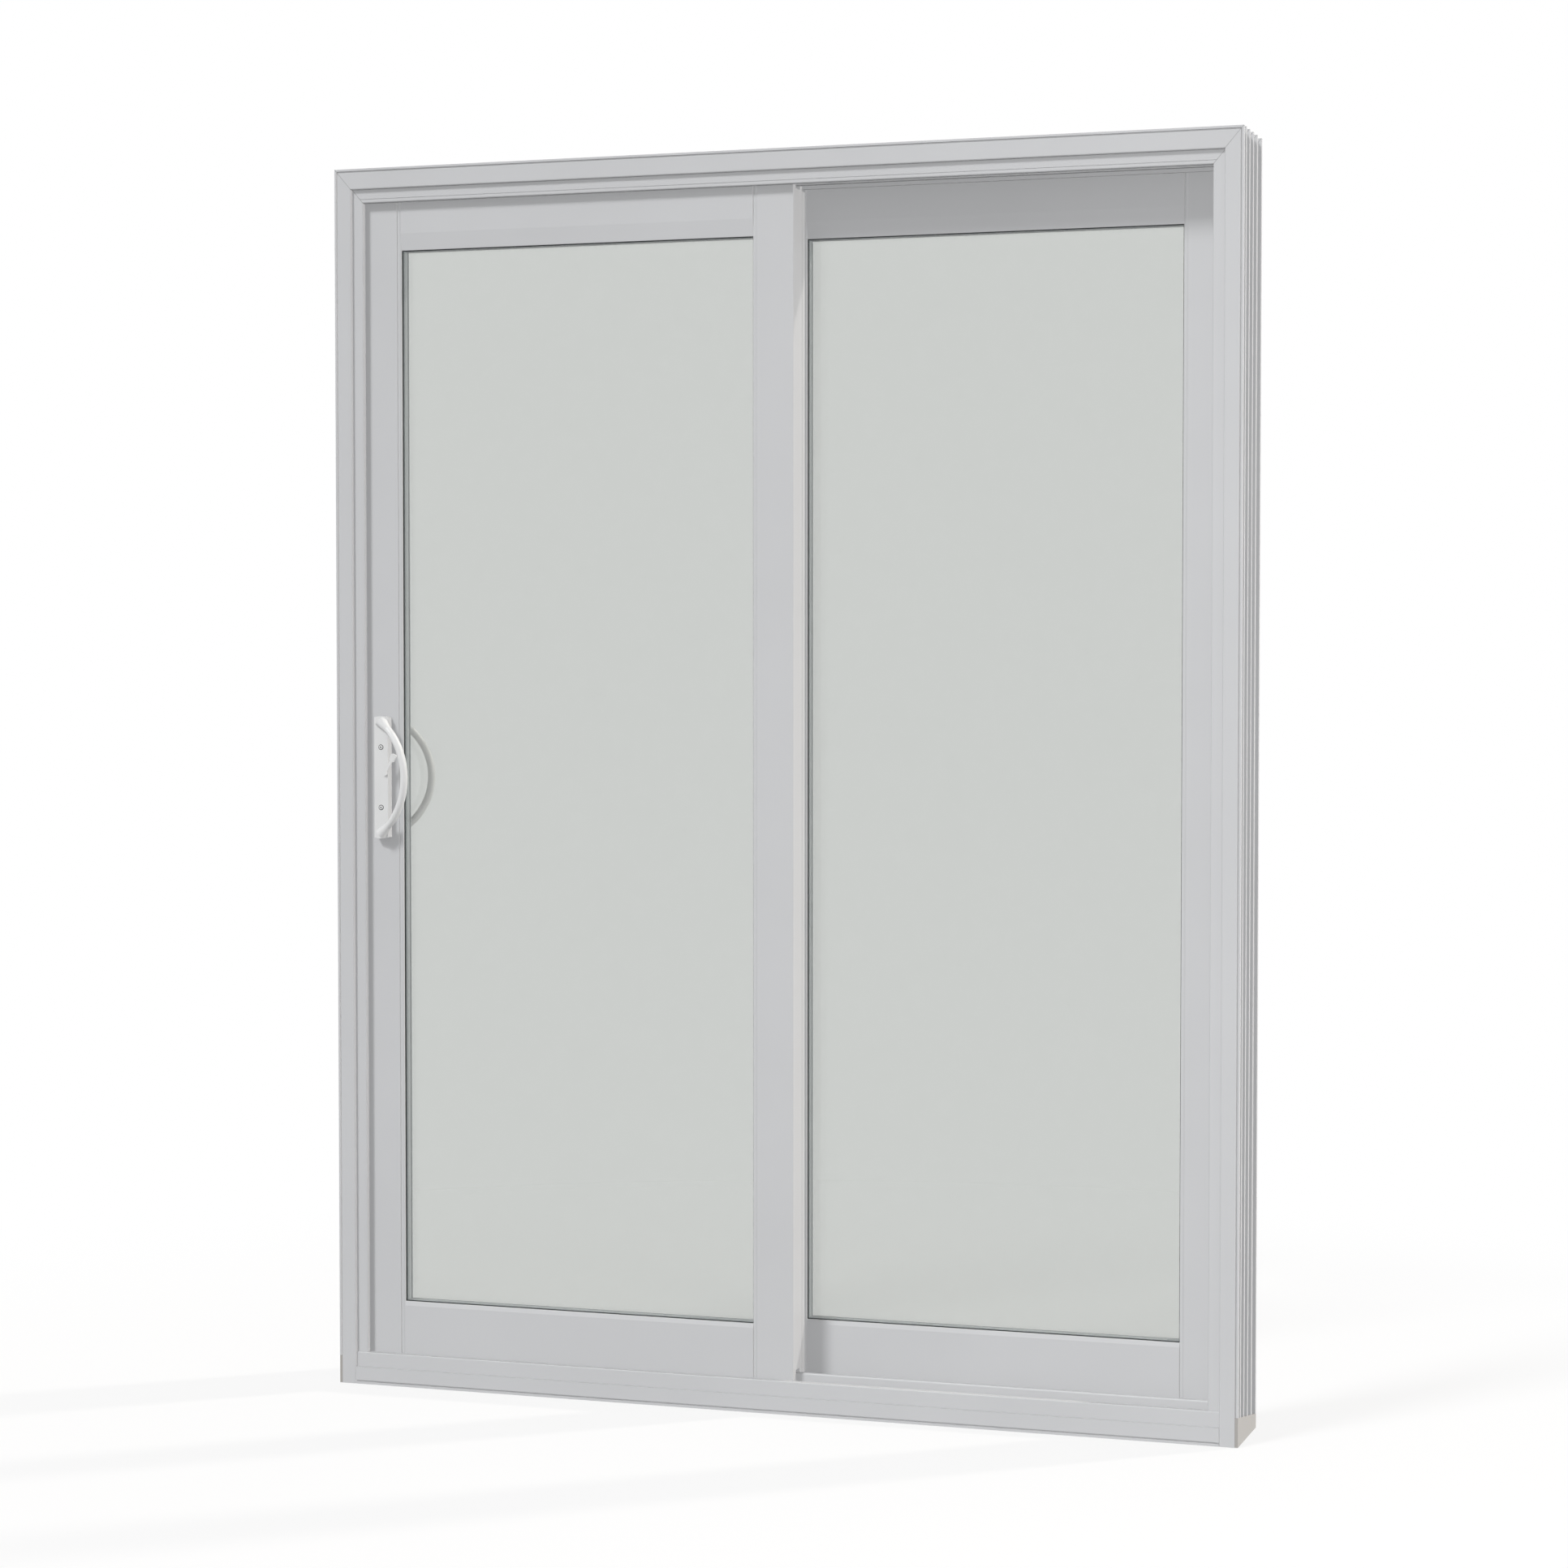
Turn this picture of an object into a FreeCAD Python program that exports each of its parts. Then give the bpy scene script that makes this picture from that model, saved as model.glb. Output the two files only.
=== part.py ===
import FreeCAD, Part
import math
import os

os.makedirs("parts", exist_ok=True)
Vector = FreeCAD.Vector

# Sliding patio door, two panels. X runs across the door, Y from the room to the outside, Z up.
# The origin is the middle of the sill's underside. Sections are drawn with "depth", which is
# measured back from the room face of the frame.

# Frame, outside to outside
FRAME_WIDTH = 1518.0
FRAME_HEIGHT = 2019.0
FRAME_DEPTH = 150.0
RUN_CLEARANCE = 5.0         # between a piece that slides and what it passes

# Jamb section: widths in from the outer side, depths back from the room face
LIP_WIDTH = 3.0
KERF_WIDTH = 2.0
KERF_DEPTH = 3.5
OUTER_BAND = 29.5
BAND_STEP = 6.5
JAMB_FACE = 48.5
INNER_BAND_THICKNESS = 8.5
EDGE_ROUND = 2.5
LINE_RISE = 5.0             # fine line along the head, above its lower edge
LINE_WIDTH = 0.8
LINE_DEPTH = 1.0
STOP_THICKNESS = 5.0
OUTSIDE_LIP = 6.5
SCREEN_CHANNEL_FLOOR = 33.0
OUTSIDE_FACE = 44.0
HEAD_RATIO = 1.16           # the head's face is this much wider than a jamb's

# Ribs along the outer side of jambs and head
RIB_HEIGHT = 5.0
RIB_WIDTH = 7.0
RIB_MIDDLES = (20.0, 48.0, 78.0, 109.0)

# Sill section
SILL_FLOOR = 37.0
SILL_TOP = 53.0
SILL_LEDGE = 28.0
SILL_LEDGE_DEPTH = 4.0
SILL_LEDGE_RISE = 1.0
SILL_FRONT_ROUND = 1.5
SILL_ROUND = 1.0
SILL_FOOT = 4.0
SILL_GROOVE = 2.3
SILL_STOP = 8.0             # height of the stops above the fixed panel's seat
SILL_BACK = 24.0
SCREEN_RAIL_WIDTH = 3.0
SCREEN_RAIL_HEIGHT = 12.0
JAMB_SKIN = 4.0             # front of the jamb that passes before the sill to the floor
CAP_FRONT = 46.0
CAP_BACK = 22.0
CAP_RECESS = 0.6

# Rails that guide the sliding panel
SILL_RAIL_WIDTH = 8.0
SILL_RAIL_TOP = 61.5
SILL_RAIL_ROUND = 3.0
GUIDE_WIDTH = 12.0
GUIDE_DROP = 12.0
GUIDE_ROUND = 1.5
PANEL_CHANNEL = 22.0        # width of the channels in the panel's top and bottom rails
BOTTOM_CHANNEL_DEPTH = 50.0

# Panels
PANEL_THICKNESS = 45.0
SLIDE_COVER = 6.4           # how far the jamb's face laps the sliding panel
FIXED_COVER = 7.5           # how far the stops lap the fixed panel
MEETING_REACH = 33.85       # the sliding panel's edge past the middle of the door
STILE_FACE = 68.25
TOP_RAIL_FACE = 86.7
BOTTOM_RAIL_FACE = 97.6
STILE_BEAD = 7.0
TOP_BEVEL = 28.0            # height of the top rail's bevel
TOP_SLOPE = 3.0
BEAD_SLOPE = 1.8
BEAD_GROOVE = 1.5
BACK_LEG = 2.0              # of the panel's outside, over the glass
BACK_BEVEL = 10.0
BEAD_CREST = 0.3
CREST_ROUND = 4.0
FRONT_LEG = 5.0
PANEL_ROUND = 1.5           # along a panel's outer edges
BEAD_ROUND = 1.0            # along the glass

# Double glazing
GLASS_BITE = 14.0
POCKET_SLACK = 2.0
PANE_THICKNESS = 4.0
SPACER_THICKNESS = 12.0
SPACER_INSET = 3.0
GASKET_THICKNESS = 2.0
GASKET_SEAT = 8.0
GASKET_LIP = 1.2

# Interlock of the meeting stiles
FLANGE_THICKNESS = 1.75
LEG_THICKNESS = 3.0
FLANGE_REACH = 46.0

# Pull handles
HANDLE_INSET = 35.3         # from the panel's edge to the middle of the plate
HANDLE_HEIGHT = 1014.5
PLATE_LENGTH = 203.0
PLATE_WIDTH = 25.3
PLATE_THICKNESS = 14.6
PLATE_CROWN = 2.0
PLATE_ROUND = 1.5
BOW_CHORD = 186.0
BOW_SIDE = 50.0
BOW_FORWARD = 18.25
BOW_RADIUS = 6.1
FOOT_RADIUS = 10.0
FOOT_LENGTH = 20.0
SCREW_SPACING = 100.0
SCREW_RADIUS = 4.5
SCREW_HEAD = 1.2
SCREW_BEVEL = 0.5

# Thumb latch
LATCH_ASIDE = 8.0
LATCH_ABOVE = 7.0
LATCH_ANGLE = 60.0
LATCH_LENGTH = 36.0
LATCH_WIDTH = 4.0
LATCH_THICKNESS = 3.0
TAB_LENGTH = 12.0
TAB_WIDTH = 9.0
TAB_ROUND = 1.5
HUB_RADIUS = 4.0
PIN_RADIUS = 3.0
PIN_LENGTH = 4.0
PIN_CLEARANCE = 0.1         # round the pin
LATCH_GAP = 0.3             # between the lever and the plate

# Lock
KEEPER_LENGTH = 120.0
KEEPER_WIDTH = 22.0
LOCK_LENGTH = 160.0
LOCK_WIDTH = 20.0
LOCK_PLATE = 3.0
LOCK_CORNER = 8.0
HOOK_SLOT_LENGTH = 40.0
HOOK_SLOT_WIDTH = 8.0

# Rollers
ROLLER_INSET = 130.0
ROLLER_RADIUS = 11.0
ROLLER_FLANGE = 14.0
ROLLER_WIDTH = 15.0
ROLLER_GAP = 0.3
AXLE_RADIUS = 4.0
AXLE_CLEARANCE = 0.1
HOUSING_LENGTH = 80.0
HOUSING_WALL = 3.0
HOUSING_DROP = 6.0

# Places that follow from the sizes
HALF_WIDTH = FRAME_WIDTH / 2
SLIDE_FRONT = BAND_STEP + INNER_BAND_THICKNESS + RUN_CLEARANCE
SLIDE_BACK = SLIDE_FRONT + PANEL_THICKNESS
FIXED_FRONT = SLIDE_BACK + 3 * RUN_CLEARANCE + 2 * FLANGE_THICKNESS
FIXED_BACK = FIXED_FRONT + PANEL_THICKNESS
SCREEN_FRONT = FIXED_BACK + STOP_THICKNESS
SCREEN_BACK = FRAME_DEPTH - OUTSIDE_LIP
SLIDE_POCKET = JAMB_FACE - SLIDE_COVER - RUN_CLEARANCE
FIXED_POCKET = JAMB_FACE - FIXED_COVER
PANEL_BOTTOM = SILL_FLOOR + RUN_CLEARANCE
PANEL_TOP = FRAME_HEIGHT - SLIDE_POCKET * HEAD_RATIO - RUN_CLEARANCE
SLIDE_LEFT = JAMB_FACE - SLIDE_COVER - HALF_WIDTH
PANEL_WIDTH = MEETING_REACH - SLIDE_LEFT
FIXED_LEFT = HALF_WIDTH - FIXED_POCKET - PANEL_WIDTH
RAIL_MIDDLE = SLIDE_FRONT + PANEL_THICKNESS / 2
STOP_TOP = PANEL_BOTTOM + SILL_STOP
HEAD_STOP = FRAME_HEIGHT - JAMB_FACE * HEAD_RATIO
GUIDE_TOP = FRAME_HEIGHT - SLIDE_POCKET * HEAD_RATIO
GUIDE_BOTTOM = GUIDE_TOP - GUIDE_DROP
UNIT_THICKNESS = 2 * PANE_THICKNESS + SPACER_THICKNESS
GLAZING_BACK = FRONT_LEG + UNIT_THICKNESS + 2 * GASKET_THICKNESS
AXLE_HEIGHT = SILL_RAIL_TOP + ROLLER_GAP + ROLLER_RADIUS


def save(shape, node):
    """Write one node, as the solid it is or as its separate solids."""
    shape.exportStep("parts/" + node + ".step")


def block(x, depth, z):
    """Box between two values of x, of depth and of z."""
    corner = Vector(x[0], depth[0] - FRAME_DEPTH / 2, z[0])
    return Part.makeBox(x[1] - x[0], depth[1] - depth[0], z[1] - z[0], corner)


def rounded_face(corners, to_point):
    """Flat face through the corners; a corner's third value is the radius that rounds it."""
    flat = [Vector(corner[0], corner[1], 0) for corner in corners]
    starts, ends, edges = [], [], []
    for i, here in enumerate(flat):
        radius = corners[i][2] if len(corners[i]) > 2 else 0
        to_last = (flat[i - 1] - here).normalize()
        to_next = (flat[(i + 1) % len(flat)] - here).normalize()
        half_angle = to_last.getAngle(to_next) / 2
        reach = radius / math.tan(half_angle)
        starts.append(here + to_last * reach)
        ends.append(here + to_next * reach)
        if radius:
            inward = (to_last + to_next).normalize()
            middle = here + inward * (radius / math.sin(half_angle) - radius)
            arc = Part.Arc(to_point(starts[i]), to_point(middle), to_point(ends[i]))
            edges.append(arc.toShape())
    for i, end in enumerate(ends):
        start = starts[(i + 1) % len(starts)]
        edges.append(Part.LineSegment(to_point(end), to_point(start)).toShape())
    return Part.Face(Part.Wire(Part.__sortEdges__(edges)))


def mirror_x(shape):
    return shape.mirror(Vector(0, 0, 0), Vector(1, 0, 0))


def frame_section(ratio, line=()):
    """Jamb or head in section, as (width in from the outer side, depth); line is cut in its inner band."""
    kerf_end = LIP_WIDTH + KERF_WIDTH
    corners = [
        (0, 0), (LIP_WIDTH, 0), (LIP_WIDTH, KERF_DEPTH), (kerf_end, KERF_DEPTH), (kerf_end, 0),
        (OUTER_BAND, 0, EDGE_ROUND), (OUTER_BAND, BAND_STEP), *line,
        (JAMB_FACE, BAND_STEP, EDGE_ROUND), (JAMB_FACE, BAND_STEP + INNER_BAND_THICKNESS),
        (SLIDE_POCKET, BAND_STEP + INNER_BAND_THICKNESS),
        (SLIDE_POCKET, FIXED_FRONT - STOP_THICKNESS),
        (JAMB_FACE, FIXED_FRONT - STOP_THICKNESS), (JAMB_FACE, FIXED_FRONT),
        (FIXED_POCKET, FIXED_FRONT), (FIXED_POCKET, FIXED_BACK),
        (JAMB_FACE, FIXED_BACK), (JAMB_FACE, SCREEN_FRONT),
        (SCREEN_CHANNEL_FLOOR, SCREEN_FRONT), (SCREEN_CHANNEL_FLOOR, SCREEN_BACK),
        (OUTSIDE_FACE, SCREEN_BACK), (OUTSIDE_FACE, FRAME_DEPTH, EDGE_ROUND), (0, FRAME_DEPTH),
        (0, FRAME_DEPTH - RIB_WIDTH), (RIB_HEIGHT, FRAME_DEPTH - RIB_WIDTH),
    ]
    for middle in reversed(RIB_MIDDLES):
        far, near = middle + RIB_WIDTH / 2, middle - RIB_WIDTH / 2
        corners += [(RIB_HEIGHT, far), (0, far), (0, near), (RIB_HEIGHT, near)]
    corners += [(RIB_HEIGHT, RIB_WIDTH), (0, RIB_WIDTH)]
    return [(corner[0] * ratio,) + corner[1:] for corner in corners]


def mitre_wedge():
    """Everything of the head's side of the two mitres."""
    reach = 2 * JAMB_FACE
    corners = [
        (-HALF_WIDTH, FRAME_HEIGHT), (HALF_WIDTH, FRAME_HEIGHT),
        (HALF_WIDTH - reach, FRAME_HEIGHT - reach * HEAD_RATIO),
        (reach - HALF_WIDTH, FRAME_HEIGHT - reach * HEAD_RATIO),
    ]
    face = rounded_face(corners, lambda flat: Vector(flat.x, -FRAME_DEPTH / 2, flat.y))
    return face.extrude(Vector(0, FRAME_DEPTH, 0))


def make_head():
    line_low, line_high = JAMB_FACE - LINE_RISE, JAMB_FACE - LINE_RISE - LINE_WIDTH
    line_floor = BAND_STEP + LINE_DEPTH
    line = [(line_high, BAND_STEP), (line_high, line_floor), (line_low, line_floor), (line_low, BAND_STEP)]
    face = rounded_face(frame_section(HEAD_RATIO, line), lambda flat: Vector(
        -HALF_WIDTH, flat.y - FRAME_DEPTH / 2, FRAME_HEIGHT - flat.x))
    return face.extrude(Vector(FRAME_WIDTH, 0, 0)).common(mitre_wedge())


def make_sill():
    """Sill with a front wall, the sliding channel, the fixed panel's seat and a sloped back."""
    slope = (SILL_FLOOR - SILL_BACK) / (FRAME_DEPTH - SCREEN_FRONT)
    rail_front = (SCREEN_FRONT + SCREEN_BACK - SCREEN_RAIL_WIDTH) / 2
    rail_back = rail_front + SCREEN_RAIL_WIDTH
    wall_back = BAND_STEP + INNER_BAND_THICKNESS

    def slope_height(depth):
        return SILL_FLOOR - slope * (depth - SCREEN_FRONT)

    rail_top = slope_height(rail_front) + SCREEN_RAIL_HEIGHT
    corners = [
        (0, 0), (0, SILL_FOOT), (SILL_GROOVE, SILL_FOOT), (SILL_GROOVE, SILL_FOOT + SILL_GROOVE),
        (0, SILL_FOOT + SILL_GROOVE), (0, SILL_LEDGE),
        (SILL_LEDGE_DEPTH, SILL_LEDGE + SILL_LEDGE_RISE),
        (SILL_LEDGE_DEPTH, SILL_TOP, SILL_FRONT_ROUND), (wall_back, SILL_TOP, SILL_ROUND),
        (wall_back, SILL_FLOOR), (FIXED_FRONT - STOP_THICKNESS, SILL_FLOOR),
        (FIXED_FRONT - STOP_THICKNESS, STOP_TOP, SILL_ROUND),
        (FIXED_FRONT, STOP_TOP), (FIXED_FRONT, PANEL_BOTTOM), (FIXED_BACK, PANEL_BOTTOM),
        (FIXED_BACK, STOP_TOP), (SCREEN_FRONT, STOP_TOP, SILL_ROUND), (SCREEN_FRONT, SILL_FLOOR),
        (rail_front, slope_height(rail_front)), (rail_front, rail_top, SILL_ROUND),
        (rail_back, rail_top, SILL_ROUND), (rail_back, slope_height(rail_back)),
        (FRAME_DEPTH, SILL_BACK, EDGE_ROUND), (FRAME_DEPTH, 0),
    ]
    length = FRAME_WIDTH - 2 * RIB_HEIGHT
    face = rounded_face(corners, lambda flat: Vector(
        -length / 2, flat.x - FRAME_DEPTH / 2, flat.y))
    sill = face.extrude(Vector(length, 0, 0))
    notch = block((-HALF_WIDTH, OUTER_BAND - HALF_WIDTH), (0, JAMB_SKIN), (0, SILL_TOP))
    return sill.cut(notch).cut(mirror_x(notch))


def make_sill_cap():
    """Left end cap of the sill, flush with the tops of the jamb's ribs."""
    corners = [(CAP_RECESS, 0), (CAP_RECESS, CAP_FRONT), (FRAME_DEPTH, CAP_BACK), (FRAME_DEPTH, 0)]
    face = rounded_face(corners, lambda flat: Vector(
        -HALF_WIDTH, flat.x - FRAME_DEPTH / 2, flat.y))
    return face.extrude(Vector(RIB_HEIGHT, 0, 0))


def make_jamb(sill, cap):
    """Left jamb, mitred at the head and coped over the sill and its cap."""
    face = rounded_face(frame_section(1), lambda flat: Vector(
        flat.x - HALF_WIDTH, flat.y - FRAME_DEPTH / 2, 0))
    jamb = face.extrude(Vector(0, 0, FRAME_HEIGHT)).cut(mitre_wedge())
    recess = block((-HALF_WIDTH, RIB_HEIGHT - HALF_WIDTH), (0, CAP_RECESS), (0, CAP_FRONT))
    return jamb.cut(sill).cut(cap).cut(recess)


def make_sill_rail():
    half = SILL_RAIL_WIDTH / 2
    corners = [
        (RAIL_MIDDLE - half, SILL_FLOOR), (RAIL_MIDDLE - half, SILL_RAIL_TOP, SILL_RAIL_ROUND),
        (RAIL_MIDDLE + half, SILL_RAIL_TOP, SILL_RAIL_ROUND), (RAIL_MIDDLE + half, SILL_FLOOR),
    ]
    length = FRAME_WIDTH - 2 * SLIDE_POCKET
    face = rounded_face(corners, lambda flat: Vector(
        -length / 2, flat.x - FRAME_DEPTH / 2, flat.y))
    return face.extrude(Vector(length, 0, 0))


def make_head_guide():
    half = GUIDE_WIDTH / 2
    corners = [
        (RAIL_MIDDLE - half, GUIDE_TOP), (RAIL_MIDDLE + half, GUIDE_TOP),
        (RAIL_MIDDLE + half, GUIDE_BOTTOM, GUIDE_ROUND),
        (RAIL_MIDDLE - half, GUIDE_BOTTOM, GUIDE_ROUND),
    ]
    length = FRAME_WIDTH - 2 * SLIDE_POCKET
    face = rounded_face(corners, lambda flat: Vector(
        -length / 2, flat.x - FRAME_DEPTH / 2, flat.y))
    return face.extrude(Vector(length, 0, 0))


def section_back(width):
    """Outside of a stile or rail in section, with a glazing bevel."""
    return [(width, GLAZING_BACK + BACK_LEG, BEAD_ROUND), (width - BACK_BEVEL, PANEL_THICKNESS),
            (0, PANEL_THICKNESS, PANEL_ROUND)]


def stile_section():
    """Stile as (in from the outer edge, back from the panel's face): a crowned bead in a groove."""
    bead = STILE_FACE - STILE_BEAD
    front = [(0, 0, PANEL_ROUND), (bead, 0), (bead, BEAD_GROOVE),
             (bead + STILE_BEAD / 2, BEAD_CREST, CREST_ROUND), (STILE_FACE, BEAD_SLOPE, BEAD_ROUND)]
    return front + section_back(STILE_FACE)


def rail_section(width, bevel, slope):
    """Rail in section, bevelled toward the glass."""
    front = [(0, 0, PANEL_ROUND), (width - bevel, 0), (width, slope, BEAD_ROUND)]
    return front + section_back(width)


def ring(left, bottom, right, top, depth, outside, inside):
    """Rectangular ring round an opening, reaching outside and inside its edge."""
    outer = block((left - outside, right + outside), depth, (bottom - outside, top + outside))
    inner = block((left + inside, right - inside), depth, (bottom + inside, top - inside))
    return outer.cut(inner)


def make_panel(name, left, front):
    """Glazed panel: two stiles, two rails and a double-glazed unit in gaskets."""
    right = left + PANEL_WIDTH
    sight_left, sight_right = left + STILE_FACE, right - STILE_FACE
    sight_bottom, sight_top = PANEL_BOTTOM + BOTTOM_RAIL_FACE, PANEL_TOP - TOP_RAIL_FACE
    unit_front = front + FRONT_LEG + GASKET_THICKNESS
    unit_back = unit_front + UNIT_THICKNESS
    pocket_reach = GLASS_BITE + POCKET_SLACK
    opening = (sight_left, sight_bottom, sight_right, sight_top)

    pocket = block((sight_left - pocket_reach, sight_right + pocket_reach),
                   (front + FRONT_LEG, front + GLAZING_BACK),
                   (sight_bottom - pocket_reach, sight_top + pocket_reach))
    middle = front + PANEL_THICKNESS / 2
    half_slot = SILL_RAIL_WIDTH / 2 + RUN_CLEARANCE
    half_channel = PANEL_CHANNEL / 2
    rail_slot = block((left, right), (middle - half_slot, middle + half_slot),
                      (PANEL_BOTTOM, SILL_RAIL_TOP + RUN_CLEARANCE))
    roller_channel = block((sight_left, sight_right), (middle - half_channel, middle + half_channel),
                           (PANEL_BOTTOM, PANEL_BOTTOM + BOTTOM_CHANNEL_DEPTH))
    guide_channel = block((left, right), (middle - half_channel, middle + half_channel),
                          (GUIDE_BOTTOM - RUN_CLEARANCE, PANEL_TOP))
    hollow = [pocket, rail_slot, roller_channel, guide_channel]

    def member(section, to_point, along):
        return rounded_face(section, to_point).extrude(along).cut(hollow)

    y_front = front - FRAME_DEPTH / 2
    upright = Vector(0, 0, PANEL_TOP - PANEL_BOTTOM)
    across = Vector(sight_right - sight_left, 0, 0)
    bottom_section = rail_section(BOTTOM_RAIL_FACE, STILE_BEAD, BEAD_SLOPE)
    top_section = rail_section(TOP_RAIL_FACE, TOP_BEVEL, TOP_SLOPE)
    pieces = {
        "left_stile": member(stile_section(), lambda flat: Vector(
            left + flat.x, y_front + flat.y, PANEL_BOTTOM), upright),
        "right_stile": member(stile_section(), lambda flat: Vector(
            right - flat.x, y_front + flat.y, PANEL_BOTTOM), upright),
        "bottom_rail": member(bottom_section, lambda flat: Vector(
            sight_left, y_front + flat.y, PANEL_BOTTOM + flat.x), across),
        "top_rail": member(top_section, lambda flat: Vector(
            sight_left, y_front + flat.y, PANEL_TOP - flat.x), across),
        "inner_pane": block((sight_left - GLASS_BITE, sight_right + GLASS_BITE),
                            (unit_front, unit_front + PANE_THICKNESS),
                            (sight_bottom - GLASS_BITE, sight_top + GLASS_BITE)),
        "outer_pane": block((sight_left - GLASS_BITE, sight_right + GLASS_BITE),
                            (unit_back - PANE_THICKNESS, unit_back),
                            (sight_bottom - GLASS_BITE, sight_top + GLASS_BITE)),
        "spacer": ring(*opening, (unit_front + PANE_THICKNESS, unit_back - PANE_THICKNESS),
                       GLASS_BITE - SPACER_INSET, GASKET_LIP),
        "inner_gasket": ring(*opening, (unit_front - GASKET_THICKNESS, unit_front),
                             GASKET_SEAT, GASKET_LIP),
        "outer_gasket": ring(*opening, (unit_back, unit_back + GASKET_THICKNESS),
                             GASKET_SEAT, GASKET_LIP),
    }
    return {name + "_" + piece: shape for piece, shape in pieces.items()}


def make_interlock(edge, inward, root, toward):
    """Hooked strip on a meeting stile: a leg from the stile's face and a flange that laps back."""
    leg_end = root + toward * (2 * RUN_CLEARANCE + 2 * FLANGE_THICKNESS)
    corners = [
        (edge, root), (edge, leg_end), (edge + inward * FLANGE_REACH, leg_end),
        (edge + inward * FLANGE_REACH, leg_end - toward * FLANGE_THICKNESS),
        (edge + inward * LEG_THICKNESS, leg_end - toward * FLANGE_THICKNESS),
        (edge + inward * LEG_THICKNESS, root),
    ]
    bottom = STOP_TOP + RUN_CLEARANCE
    face = rounded_face(corners, lambda flat: Vector(
        flat.x, flat.y - FRAME_DEPTH / 2, bottom))
    return face.extrude(Vector(0, 0, HEAD_STOP - RUN_CLEARANCE - bottom))


def make_plate(x, front):
    """Handle plate with crowned ends and its long front edges rounded."""
    half_width, half_length = PLATE_WIDTH / 2, PLATE_LENGTH / 2
    y = front - FRAME_DEPTH / 2
    low, high = HANDLE_HEIGHT - half_length, HANDLE_HEIGHT + half_length
    section = [(-half_width, 0, PLATE_ROUND), (half_width, 0, PLATE_ROUND),
               (half_width, PLATE_THICKNESS), (-half_width, PLATE_THICKNESS)]
    face = rounded_face(section, lambda flat: Vector(x + flat.x, y + flat.y, low))
    bar = face.extrude(Vector(0, 0, PLATE_LENGTH))
    left_low = Vector(x - half_width, y, low + PLATE_CROWN)
    right_low = Vector(x + half_width, y, low + PLATE_CROWN)
    left_high = Vector(x - half_width, y, high - PLATE_CROWN)
    right_high = Vector(x + half_width, y, high - PLATE_CROWN)
    outline = Part.Wire([
        Part.LineSegment(left_low, left_high).toShape(),
        Part.Arc(left_high, Vector(x, y, high), right_high).toShape(),
        Part.LineSegment(right_high, right_low).toShape(),
        Part.Arc(right_low, Vector(x, y, low), left_low).toShape(),
    ])
    return bar.common(Part.Face(outline).extrude(Vector(0, PLATE_THICKNESS, 0)))


def make_pull(x, front):
    """Bow pull: a round bar bent in a plane that leans out over the glass, on flared feet."""
    along = Vector(0, 0, 1)
    lean = Vector(BOW_SIDE, -BOW_FORWARD, 0)
    out = Vector(lean).normalize()
    half_chord = BOW_CHORD / 2
    half_turn = 2 * math.atan(lean.Length / (half_chord + FOOT_LENGTH))
    bend = (half_chord - FOOT_LENGTH * math.cos(half_turn)) / math.sin(half_turn)
    chord_middle = Vector(x, front - FRAME_DEPTH / 2, HANDLE_HEIGHT)
    bend_centre = chord_middle + lean - out * bend

    def on_bow(turn):
        return bend_centre + (out * math.cos(turn) + along * math.sin(turn)) * bend

    arc = Part.Arc(on_bow(-half_turn), on_bow(0), on_bow(half_turn))
    feet = []
    for side in (-1, 1):
        foot = chord_middle + along * (side * half_chord)
        up_foot = on_bow(side * half_turn) - foot
        feet.append(Part.makeCone(FOOT_RADIUS, BOW_RADIUS, FOOT_LENGTH, foot, up_foot))
    start_tangent = arc.tangent(arc.FirstParameter)[0]
    section = Part.Circle(on_bow(-half_turn), start_tangent, BOW_RADIUS)
    bow = Part.Wire(arc.toShape()).makePipe(Part.Face(Part.Wire(section.toShape())))
    behind = block((x - PLATE_LENGTH, x + PLATE_LENGTH), (front, front + PLATE_LENGTH),
                   (HANDLE_HEIGHT - PLATE_LENGTH, HANDLE_HEIGHT + PLATE_LENGTH))
    return bow.fuse(feet).cut(behind)


def make_screws(x, front):
    """Two bevelled heads on the plate."""
    heads = []
    for side in (-1, 1):
        seat = Vector(x, front - FRAME_DEPTH / 2, HANDLE_HEIGHT + side * SCREW_SPACING / 2)
        heads.append(Part.makeCone(SCREW_RADIUS, SCREW_RADIUS - SCREW_BEVEL, SCREW_HEAD, seat,
                                   Vector(0, -1, 0)))
    return heads


def make_latch(x, z, front):
    """Thumb lever with a hub and a pin that turns in the plate."""
    y = front - FRAME_DEPTH / 2 - LATCH_GAP
    toward_room = Vector(0, -1, 0)
    half = LATCH_WIDTH / 2
    arm_end = LATCH_LENGTH - TAB_LENGTH
    corners = [
        (0, -half), (arm_end, -half), (arm_end, -TAB_WIDTH / 2),
        (LATCH_LENGTH, -TAB_WIDTH / 2, TAB_ROUND), (LATCH_LENGTH, TAB_WIDTH / 2, TAB_ROUND),
        (arm_end, TAB_WIDTH / 2), (arm_end, half), (0, half),
    ]
    face = rounded_face(corners, lambda flat: Vector(x + flat.x, y, z + flat.y))
    arm = face.extrude(toward_room * LATCH_THICKNESS)
    arm.rotate(Vector(x, y, z), Vector(0, 1, 0), -LATCH_ANGLE)
    hub = Part.makeCylinder(HUB_RADIUS, LATCH_THICKNESS, Vector(x, y, z), toward_room)
    pin_end = Vector(x, y + PIN_LENGTH, z)
    pin = Part.makeCylinder(PIN_RADIUS, PIN_LENGTH, pin_end, toward_room)
    return arm.fuse([hub, pin]).removeSplitter()


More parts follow.
